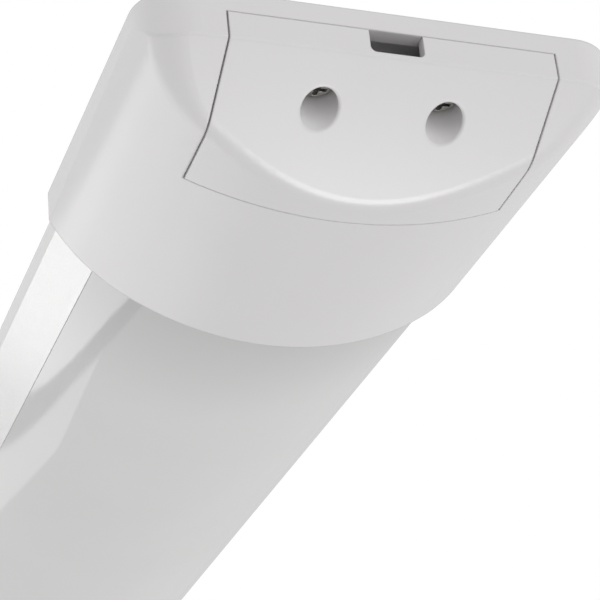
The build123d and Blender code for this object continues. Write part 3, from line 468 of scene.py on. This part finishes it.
FINISHES = {
    "tray_paint": white_paint(),
    "milky_diffuser": opal_plastic(),
    "cap_plastic": satin_plastic(
        "satin_cap_plastic", tone(0.81, 0.797, 0.80), tone(0.795, 0.781, 0.785), CAP_EDGE_RADIUS
    ),
    "cover_plastic": satin_plastic(
        "satin_cover_plastic", tone(0.81, 0.797, 0.80), tone(0.797, 0.784, 0.788), COVER_EDGE_RADIUS
    ),
    "screw_steel": metal("zinced_screw_steel", tone(0.50, 0.49, 0.47), tone(0.36, 0.35, 0.33)),
    "board_white": plastic("white_board_mask", grey(0.82), grey(0.79), (0.25, 0.35), 1500.0),
    "chip_phosphor": plastic(
        "chip_housing", tone(0.86, 0.80, 0.62), tone(0.84, 0.76, 0.55), (0.3, 0.4), 3000.0
    ),
    "rivet_aluminium": metal("pressed_aluminium", tone(0.76, 0.76, 0.77), tone(0.64, 0.64, 0.65)),
    "connector_plastic": plastic("connector_nylon", grey(0.74, 0.03), grey(0.70, 0.04)),
    "driver_plastic": plastic(
        "driver_case_plastic", grey(0.72, 0.01), grey(0.69, 0.02), (0.42, 0.55)
    ),
    "circuit_board": plastic(
        "green_board_mask", tone(0.03, 0.16, 0.07), tone(0.05, 0.21, 0.10), (0.3, 0.42), 1100.0
    ),
    "ferrite": plastic(
        "sintered_ferrite", tone(0.035, 0.034, 0.034), tone(0.055, 0.052, 0.05), (0.45, 0.6), 1600.0
    ),
    "capacitor_sleeve": plastic(
        "shrink_sleeve", tone(0.02, 0.024, 0.04), tone(0.03, 0.035, 0.055), (0.28, 0.38)
    ),
    "terminal_plastic": plastic(
        "terminal_nylon", grey(0.70, 0.02), grey(0.66, 0.03), (0.35, 0.48)
    ),
    "terminal_brass": metal("cut_brass", tone(0.72, 0.52, 0.22), tone(0.58, 0.40, 0.16)),
    "cord_clamp_plastic": plastic(
        "cord_clamp_nylon", grey(0.72, 0.02), grey(0.68, 0.03), (0.4, 0.52)
    ),
    "wire_green_yellow": green_yellow_wire(),
}

# Plain wire sleeves, in two close tones each
SLEEVE_TONES = {
    "brown": (tone(0.14, 0.055, 0.025), tone(0.17, 0.07, 0.03)),
    "blue": (tone(0.025, 0.11, 0.38), tone(0.035, 0.14, 0.43)),
    "red": (tone(0.45, 0.02, 0.02), tone(0.52, 0.03, 0.025)),
    "black": (tone(0.018, 0.018, 0.02), tone(0.028, 0.028, 0.03)),
    "white": (grey(0.74), grey(0.70, 0.01)),
}
for colour, tones in SLEEVE_TONES.items():
    FINISHES[f"wire_{colour}"] = plastic(f"{colour}_wire_sleeve", *tones, SLEEVE_ROUGHNESS)

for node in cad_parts.values():
    slot = node.data.materials[0].name
    node.data.materials[0] = FINISHES[slot]


def maker_tree(name, inputs):
    """Empty Geometry Nodes tree with a geometry input, named inputs and a finish."""
    tree = bpy.data.node_groups.new(name, "GeometryNodeTree")
    tree.interface.new_socket("Geometry", in_out="INPUT", socket_type="NodeSocketGeometry")
    for label, kind in inputs.items():
        tree.interface.new_socket(label, in_out="INPUT", socket_type=kind)
    tree.interface.new_socket("Finish", in_out="INPUT", socket_type="NodeSocketMaterial")
    tree.interface.new_socket("Geometry", in_out="OUTPUT", socket_type="NodeSocketGeometry")
    return tree, tree.nodes.new("NodeGroupInput").outputs, tree.nodes.new("NodeGroupOutput").inputs


def round_profile(tree, sides, radius):
    """Ring to sweep along a curve."""
    inputs = {"Resolution": sides, "Radius": radius}
    return add_node(tree, "GeometryNodeCurvePrimitiveCircle", inputs)


def sweep(tree, curve, profile, capped=True):
    """Solid of a profile along a curve."""
    inputs = {"Curve": curve, "Profile Curve": profile, "Fill Caps": capped}
    return add_node(tree, "GeometryNodeCurveToMesh", inputs)


def smooth(tree, geometry):
    """Geometry with smooth shading."""
    return add_node(tree, "GeometryNodeSetShadeSmooth", {"Geometry": geometry})


def moved(tree, geometry, place):
    """Geometry at its place on the fixture."""
    inputs = {"Geometry": geometry, "Translation": place}
    return add_node(tree, "GeometryNodeTransform", inputs)


def close_tree(tree, start, end, geometry):
    """End of a tree: plain geometry in its finish."""
    plain = add_node(tree, "GeometryNodeRealizeInstances", {"Geometry": geometry})
    finish = {"Geometry": plain, "Material": start["Finish"]}
    tree.links.new(add_node(tree, "GeometryNodeSetMaterial", finish), end[0])
    return tree


def thread_tree():
    """Screw thread: a diamond ridge along a helix that thins out at both ends."""
    inputs = {"Shank Radius": NUMBER, "Depth": NUMBER, "Length": NUMBER, "Turns": NUMBER}
    tree, start, end = maker_tree("screw_thread", dict(inputs, Foot=PLACE))
    helix = {
        "Resolution": THREAD_STEPS,
        "Rotations": start["Turns"],
        "Start Radius": start["Shank Radius"],
        "End Radius": start["Shank Radius"],
        "Height": start["Length"],
    }
    spiral = add_node(tree, "GeometryNodeCurveSpiral", helix)
    along = add_node(tree, "GeometryNodeSplineParameter", {})
    nearer = add_math(tree, "MINIMUM", along, add_math(tree, "SUBTRACT", 1.0, along))
    taper = add_math(tree, "MULTIPLY", nearer, THREAD_TAPER, use_clamp=True)
    spiral = add_node(tree, "GeometryNodeSetCurveRadius", {"Curve": spiral, "Radius": taper})
    thread = sweep(tree, spiral, round_profile(tree, DIAMOND_CORNERS, start["Depth"]))
    return close_tree(tree, start, end, moved(tree, thread, start["Foot"]))


def bead_tree():
    """Flattened round bead on each seed point."""
    tree, start, end = maker_tree("bead_on_point", {"Size": PLACE})
    ball = {"Segments": BEAD_SEGMENTS, "Rings": BEAD_RINGS, "Radius": 1.0}
    ball = smooth(tree, add_node(tree, "GeometryNodeMeshUVSphere", ball))
    points = {"Points": start["Geometry"], "Instance": ball, "Scale": start["Size"]}
    return close_tree(tree, start, end, add_node(tree, "GeometryNodeInstanceOnPoints", points))


def winding_tree():
    """Turns of enamelled wire round a ring core."""
    inputs = {"Turns": COUNT, "Ring Radius": NUMBER, "Width": NUMBER, "Height": NUMBER}
    inputs.update({"Wire Radius": NUMBER, "Sweep": NUMBER, "Middle": PLACE})
    tree, start, end = maker_tree("ring_winding", inputs)
    sides = {"Width": start["Height"], "Height": start["Width"]}
    loop = add_node(tree, "GeometryNodeCurvePrimitiveQuadrilateral", sides)
    bend = add_math(tree, "MULTIPLY", start["Width"], WINDING_BEND)
    bends = {"Curve": loop, "Count": WINDING_BEND_STEPS, "Radius": bend, "Limit Radius": True}
    loop = add_node(tree, "GeometryNodeFilletCurve", bends, mode="POLY")
    wire = round_profile(tree, WINDING_SIDES, start["Wire Radius"])
    turn = smooth(tree, sweep(tree, loop, wire, capped=False))
    ring = {
        "Resolution": WINDING_RING_STEPS,
        "Radius": start["Ring Radius"],
        "Sweep Angle": start["Sweep"],
    }
    ring = add_node(tree, "GeometryNodeCurveArc", ring, mode="RADIUS")
    places = tree.nodes.new("GeometryNodeCurveToPoints")
    tree.links.new(ring, places.inputs["Curve"])
    tree.links.new(start["Turns"], places.inputs["Count"])
    points = {
        "Points": places.outputs["Points"],
        "Instance": turn,
        "Rotation": places.outputs["Rotation"],
    }
    turns = add_node(tree, "GeometryNodeInstanceOnPoints", points)
    return close_tree(tree, start, end, moved(tree, turns, start["Middle"]))


def sleeve_tree():
    """Round insulated wire along a curve."""
    tree, start, end = maker_tree("wire_sleeve", {"Radius": NUMBER})
    ring = round_profile(tree, SLEEVE_SIDES, start["Radius"])
    return close_tree(tree, start, end, smooth(tree, sweep(tree, start["Geometry"], ring)))


def profile_tree():
    """Straight profile of a closed outline, along the fixture."""
    tree, start, end = maker_tree("straight_profile", {"Half Length": NUMBER})
    right = start["Half Length"]
    left = add_math(tree, "MULTIPLY", right, -1.0)
    ends = [add_node(tree, "ShaderNodeCombineXYZ", {"X": place}) for place in (left, right)]
    line = add_node(tree, "GeometryNodeCurvePrimitiveLine", {"Start": ends[0], "End": ends[1]})
    return close_tree(tree, start, end, smooth(tree, sweep(tree, line, start["Geometry"])))


def grow(name, tree, seed, values, finish, body):
    """Piece that a tree makes from a seed mesh or curve, as a plain mesh that rides on a body."""
    maker = add_object(name + "_maker", seed)
    modifier = maker.modifiers.new("maker", "NODES")
    modifier.node_group = tree
    values = dict(values, Finish=FINISHES[finish])
    for socket in tree.interface.items_tree:
        if socket.in_out == "INPUT" and socket.name in values:
            modifier[socket.identifier] = values[socket.name]
    made = maker.evaluated_get(bpy.context.evaluated_depsgraph_get())
    mesh = bpy.data.meshes.new_from_object(made)
    bpy.data.objects.remove(maker)
    piece = add_object(name, mesh)
    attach(piece, body)
    return piece


def seed_points(points):
    """Mesh of loose points for a tree to work on."""
    mesh = bpy.data.meshes.new("seed")
    mesh.from_pydata(points, [], [])
    return mesh


def new_curve(name, kind, points):
    """Curve of one spline, from points in millimetres."""
    curve = bpy.data.curves.new(name, "CURVE")
    curve.dimensions = "3D"
    spline = curve.splines.new(kind)
    spline.points.add(len(points) - 1)
    for place, (x, y, z) in zip(spline.points, points):
        place.co = (x * MM, y * MM, z * MM, 1.0)
    return curve, spline


def smooth_route(points):
    """Smooth curve round the bends of a wire."""
    curve, spline = new_curve("route", "NURBS", points)
    spline.order_u = 3
    spline.use_endpoint_u = True
    spline.resolution_u = ROUTE_STEPS
    return curve


def arc_points(first, middle, last, steps):
    """Points of the round arc through three points, without the last one."""
    (ax, ay), (bx, by), (cx, cy) = first, middle, last
    spread = 2 * (ax * (by - cy) + bx * (cy - ay) + cx * (ay - by))
    squares = [x * x + y * y for x, y in (first, middle, last)]
    x = (squares[0] * (by - cy) + squares[1] * (cy - ay) + squares[2] * (ay - by)) / spread
    y = (squares[0] * (cx - bx) + squares[1] * (ax - cx) + squares[2] * (bx - ax)) / spread
    radius = math.hypot(ax - x, ay - y)
    start = math.atan2(ay - y, ax - x)
    sweep_angle = math.remainder(math.atan2(cy - y, cx - x) - start, 2 * math.pi)
    turns = [start + sweep_angle * step / steps for step in range(steps)]
    return [(x + radius * math.cos(turn), y + radius * math.sin(turn)) for turn in turns]


def opal_outline():
    """Closed outline of the diffuser, in the order that turns the swept faces outwards."""
    outside = arc_points(*SHOULDER_OUTSIDE, SHOULDER_STEPS) + [SHOULDER_OUTSIDE[2]]
    inside = arc_points(*SHOULDER_INSIDE, SHOULDER_STEPS) + [SHOULDER_INSIDE[2]]
    right = outside + list(DIFFUSER_FOOT) + inside[::-1]
    left = [(-side, depth) for side, depth in reversed(right)]
    outer_dome = arc_points(*DOME_OUTSIDE, DOME_STEPS)[1:]
    inner_dome = arc_points(*DOME_INSIDE[::-1], DOME_STEPS)[1:]
    outline = outer_dome + right + inner_dome + left
    return outline[::-1]


def smooth_diffuser():
    """Milky diffuser with a smooth dome, in place of the faceted solid."""
    outline = [(side, depth, 0.0) for side, depth in opal_outline()]
    curve, spline = new_curve("opal_outline", "POLY", outline)
    spline.use_cyclic_u = True
    size = {"Half Length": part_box("diffuser")[1].x}
    dome = grow("diffuser_dome", profile_tree(), curve, size, "milky_diffuser", "fixture")
    dome.data.set_sharp_from_angle(angle=DOME_SHARP_ANGLE)
    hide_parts("diffuser")


def solid_boxes(node_name):
    """Lowest and highest corner of each solid in a CAD node."""
    shape = bmesh.new()
    shape.from_mesh(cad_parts[node_name].data)
    bmesh.ops.remove_doubles(shape, verts=shape.verts, dist=WELD_DISTANCE)
    left = set(shape.verts)
    boxes = []
    while left:
        solid = {left.pop()}
        front = list(solid)
        while front:
            vertex = front.pop()
            for edge in vertex.link_edges:
                other = edge.other_vert(vertex)
                if other in left:
                    left.discard(other)
                    solid.add(other)
                    front.append(other)
        places = [vertex.co for vertex in solid]
        low = Vector(min(place[axis] for place in places) for axis in range(3))
        high = Vector(max(place[axis] for place in places) for axis in range(3))
        boxes.append((low, high))
    shape.free()
    return sorted(boxes, key=lambda box: tuple(box[0]))


def cover_screw_threads():
    """Thread of each cover screw, on the screw's own body."""
    tree = thread_tree()
    for end in ("right", "left"):
        for row in ("front", "rear"):
            screw = f"{end}_cover_screw_{row}"
            low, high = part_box(screw)
            middle = (low + high) / 2
            foot = low.z + HEAD_HEIGHT + HEAD_TO_THREAD
            length = high.z - POINT_LENGTH - foot
            values = {
                "Shank Radius": SHANK_RADIUS,
                "Depth": THREAD_DEPTH,
                "Length": length,
                "Turns": length / THREAD_PITCH,
                "Foot": (middle.x, middle.y, foot),
            }
            body = f"{end}_screw_{row}"
            grow(screw + "_thread", tree, seed_points([]), values, "screw_steel", body)


def led_windows():
    """Phosphor window and two solder joints of each LED chip."""
    tree = bead_tree()
    window = {"Size": (WINDOW_RADIUS, WINDOW_RADIUS, WINDOW_RISE)}
    solder = {"Size": (SOLDER_RADIUS, SOLDER_RADIUS, SOLDER_RISE)}
    for row in ("front", "rear"):
        windows = []
        joints = []
        for low, high in solid_boxes(f"{row}_led_chips"):
            middle = (low + high) / 2
            windows.append((middle.x, middle.y, low.z))
            joints.append((low.x, middle.y, high.z))
            joints.append((high.x, middle.y, high.z))
        windows = seed_points(windows)
        joints = seed_points(joints)
        grow(f"{row}_led_windows", tree, windows, window, "chip_phosphor", "fixture")
        grow(f"{row}_led_solder", tree, joints, solder, "rivet_aluminium", "fixture")


def choke_winding():
    """Wire winding of the ring choke."""
    low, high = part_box("driver_choke")
    outer = (high.x - low.x) / 2
    values = {
        "Turns": WINDING_TURNS,
        "Ring Radius": (outer + CHOKE_BORE) / 2,
        "Width": outer - CHOKE_BORE + 2 * WINDING_WIRE,
        "Height": high.z - low.z + 2 * WINDING_WIRE,
        "Wire Radius": WINDING_WIRE,
        "Sweep": WINDING_SWEEP,
        "Middle": tuple((low + high) / 2),
    }
    grow("choke_winding", winding_tree(), seed_points([]), values, "terminal_brass", "fixture")


def wires():
    """Insulated wires inside the fixture, in place of the plain solids."""
    tree = sleeve_tree()
    routes = {
        "live_wire": (LIVE_ROUTE, MAINS_WIRE_RADIUS, "wire_brown"),
        "neutral_wire": (NEUTRAL_ROUTE, MAINS_WIRE_RADIUS, "wire_blue"),
        "earth_wire": (EARTH_ROUTE, MAINS_WIRE_RADIUS, "wire_green_yellow"),
        "led_positive_wire": (LED_POSITIVE_ROUTE, LED_WIRE_RADIUS, "wire_red"),
        "led_negative_wire": (LED_NEGATIVE_ROUTE, LED_WIRE_RADIUS, "wire_black"),
        "led_link_wire": (LED_LINK_ROUTE, LED_WIRE_RADIUS, "wire_white"),
    }
    for wire, (route, radius, finish) in routes.items():
        size = {"Radius": radius}
        sleeve = grow(wire + "_sleeve", tree, smooth_route(route), size, finish, "fixture")
        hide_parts(wire)


def stage_panel(name, corners, finish):
    """Flat four-cornered piece of the studio."""
    mesh = bpy.data.meshes.new(name)
    mesh.from_pydata([tuple(corner) for corner in corners], [], [(0, 1, 2, 3)])
    mesh.materials.append(finish)
    panel = add_object(name, mesh)
    return panel


def studio_floor():
    """Plain pale floor far below the fixture, which doesn't show in gloss."""
    half = FLOOR_SIZE / 2
    sides = ((-half, -half), (half, -half), (half, half), (-half, half))
    corners = [(x, y, -FLOOR_DEPTH) for x, y in sides]
    paint = plastic("floor_paint", grey(0.62), grey(0.60), (0.7, 0.8), 60.0)
    floor = stage_panel("studio_floor", corners, paint)
    floor.visible_glossy = False


def light_place(toward, along):
    """Place of a light that faces the fixture from a direction, its first side along a line."""
    back = Vector(toward).normalized()
    side = (Vector(along) - back * back.dot(Vector(along))).normalized()
    turn = Matrix((side, back.cross(side), back)).transposed()
    return Matrix.Translation(Vector(LIGHT_TARGET) + back * LIGHT_DISTANCE) @ turn.to_4x4()


def softbox(name, toward, along, size, power, glossy=False):
    """Rectangular soft light in a direction from the fixture; only some show in gloss."""
    data = bpy.data.lights.new(name, "AREA")
    data.shape = "RECTANGLE"
    data.size, data.size_y = size
    data.energy = power
    light = add_object(name, data)
    light.matrix_world = light_place(toward, along)
    light.visible_camera = False
    light.visible_glossy = glossy


def dark_flag():
    """Black cloth strip beside the slanted softbox: only gloss shows it, as a dark streak."""
    place = light_place(SLANTED_TOWARD, SLANTED_ALONG)
    near = -SLANTED_SIZE[1] / 2
    far = near - FLAG_WIDTH
    first, last = FLAG_SPAN
    sides = ((first, far), (last, far), (last, near), (first, near))
    corners = [place @ Vector((x, y, 0)) for x, y in sides]
    cloth = plastic("flag_cloth", grey(0.01), grey(0.015), (0.9, 1.0), 300.0)
    flag = stage_panel("dark_flag", corners, cloth)
    flag.visible_camera = False
    flag.visible_diffuse = False
    flag.visible_shadow = False


def studio_world():
    """White backdrop for the camera, with a softer grey light for everything else."""
    world = bpy.data.worlds.new("studio")
    bpy.context.scene.world = world
    world.use_nodes = True
    tree = world.node_tree
    tree.nodes.clear()
    seen = tree.nodes.new("ShaderNodeLightPath").outputs["Is Camera Ray"]
    room, backdrop = [
        add_node(tree, "ShaderNodeBackground", {"Color": WHITE, "Strength": strength})
        for strength in (ROOM_STRENGTH, BACKDROP_STRENGTH)
    ]
    both = add_node(tree, "ShaderNodeMixShader", {"Fac": seen, 1: room, 2: backdrop})
    tree.links.new(both, tree.nodes.new("ShaderNodeOutputWorld").inputs["Surface"])


def photo_camera():
    """Camera at the photograph's viewing angle."""
    data = bpy.data.cameras.new("photo_camera")
    data.sensor_width = CAMERA_SENSOR
    data.lens = CAMERA_LENS
    data.clip_start = CAMERA_CLIP
    camera = add_object("photo_camera", data)
    turn = Matrix((CAMERA_RIGHT, CAMERA_UP, CAMERA_BACK)).transposed()
    camera.matrix_world = Matrix.Translation(CAMERA_PLACE) @ turn.to_4x4()
    bpy.context.scene.camera = camera


smooth_diffuser()
cover_screw_threads()
led_windows()
choke_winding()
wires()
studio_floor()
studio_world()
photo_camera()
softbox("slanted_softbox", SLANTED_TOWARD, SLANTED_ALONG, SLANTED_SIZE, SLANTED_POWER, glossy=True)
dark_flag()
softbox("streak_softbox", STREAK_TOWARD, SLANTED_ALONG, STREAK_SIZE, STREAK_POWER, glossy=True)
softbox("wing_softbox", WING_TOWARD, SLANTED_ALONG, WING_SIZE, WING_POWER, glossy=True)
softbox("under_softbox", UNDER_TOWARD, UNDER_ALONG, UNDER_SIZE, UNDER_POWER, glossy=True)
for light_name, (light_side, light_power) in FILL_LIGHTS.items():
    softbox(light_name, light_side, UPRIGHT, FILL_SIZE, light_power)
bpy.context.scene.view_settings.view_transform = "Standard"
